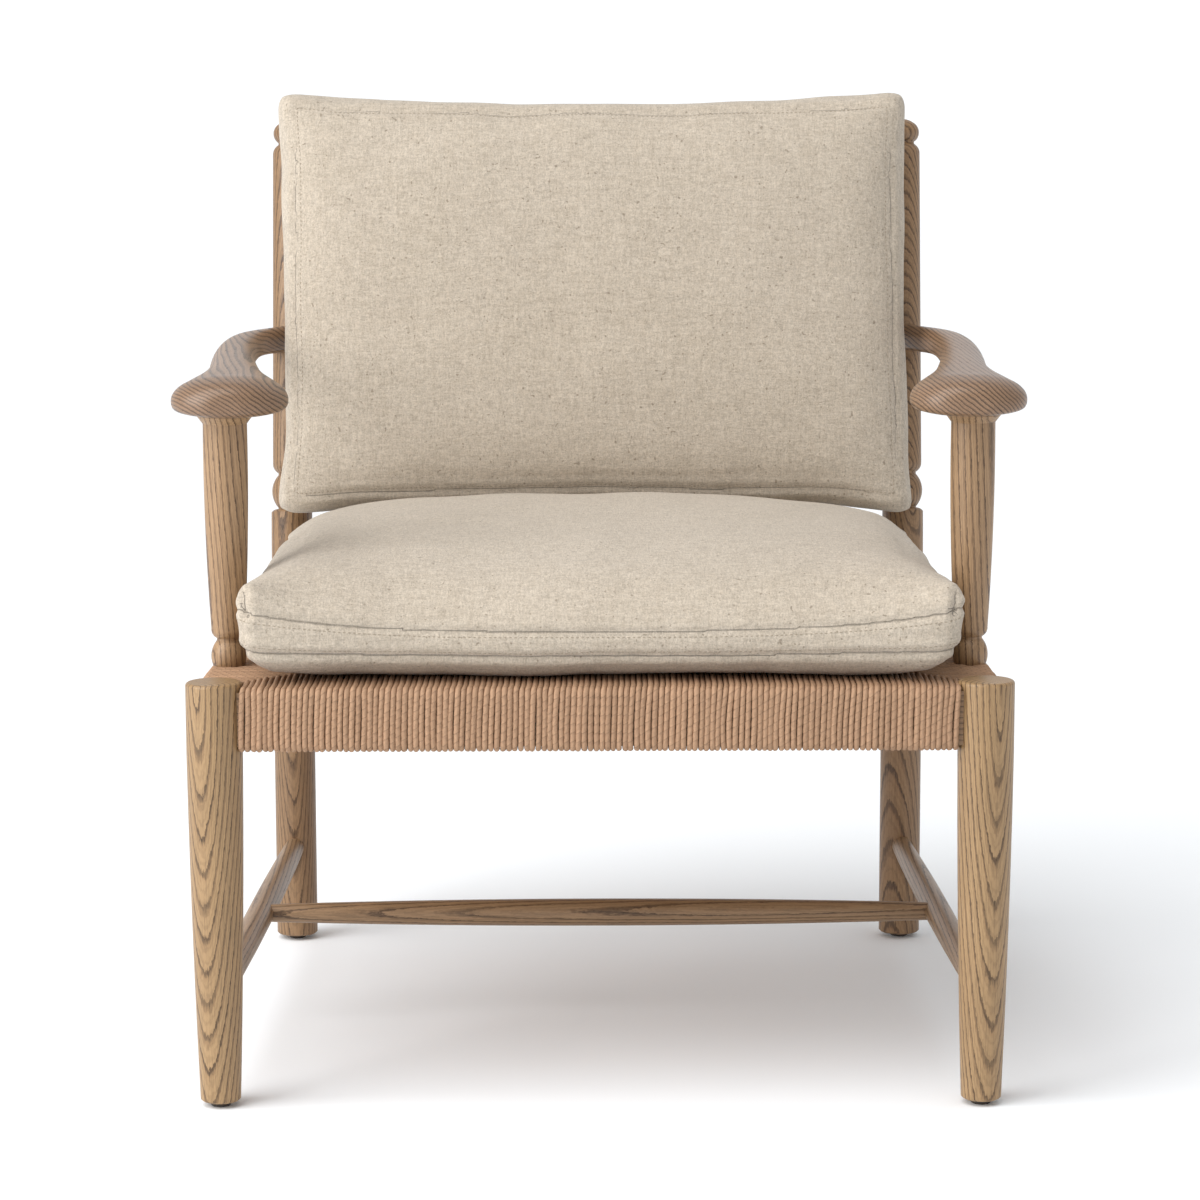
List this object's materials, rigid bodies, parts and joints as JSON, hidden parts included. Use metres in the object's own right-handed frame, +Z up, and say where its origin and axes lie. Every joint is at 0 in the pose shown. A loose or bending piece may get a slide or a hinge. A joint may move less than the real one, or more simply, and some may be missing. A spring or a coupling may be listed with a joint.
{
  "type": "wooden armchair",
  "caption": "Low lounge armchair in turned ash with paddle arms, a paper-cord seat and loose seat and back cushions.",
  "frame": {"origin": "on the floor under the middle of the chair's bounding box", "axes": "+Z up, the chair faces -Y, +X is the right side seen from the front"},
  "size_m": [0.766, 0.7495, 0.8826],
  "materials": {
    "ash": "satin",
    "ash_arm": "satin",
    "ash_stretcher": "satin",
    "rail_wood": "matte",
    "screw_steel": "satin",
    "glide_nylon": "matte",
    "paper_cord": "matte",
    "card_stuffing": "matte",
    "linen": "matte",
    "cushion_filling": "matte",
    "zip_tape": "matte",
    "tie_tape": "matte"
  },
  "bodies": {
    "frame": {"front_leg_left": "ash", "front_leg_right": "ash", "rear_leg_left": "ash", "rear_leg_right": "ash", "arm_post_left": "ash", "arm_post_right": "ash", "arm_left": "ash_arm", "arm_right": "ash_arm", "side_stretcher_left": "ash_stretcher", "side_stretcher_right": "ash_stretcher", "cross_stretcher": "ash_stretcher", "front_rail": "rail_wood", "rear_rail": "rail_wood", "side_rail_left": "rail_wood", "side_rail_right": "rail_wood", "back_slat_lower": "ash", "back_slat_middle": "ash", "back_slat_upper": "ash", "arm_plugs": "ash", "arm_screws": "screw_steel", "glide_nails": "screw_steel", "leg_glides": "glide_nylon", "seat_weave_front": "paper_cord", "seat_weave_rear": "paper_cord", "seat_weave_left": "paper_cord", "seat_weave_right": "paper_cord", "seat_stuffing": "card_stuffing"},
    "seat_cushion": {"seat_cushion_cover": "linen", "seat_cushion_filling": "cushion_filling", "seat_cushion_zip": "zip_tape"},
    "back_cushion": {"back_cushion_cover": "linen", "back_cushion_filling": "cushion_filling", "back_cushion_zip": "zip_tape", "cushion_tie": "tie_tape"}
  },
  "joints": [
    {"name": "seat_cushion_lift_out", "type": "slide", "parent": "frame", "child": "seat_cushion", "axis": [0, -0.9962, 0.0872], "range_m": [0, 0.64]},
    {"name": "back_cushion_lift_off", "type": "slide", "parent": "frame", "child": "back_cushion", "axis": [0, 0.1822, 0.9833], "range_m": [0, 0.45]}
  ]
}
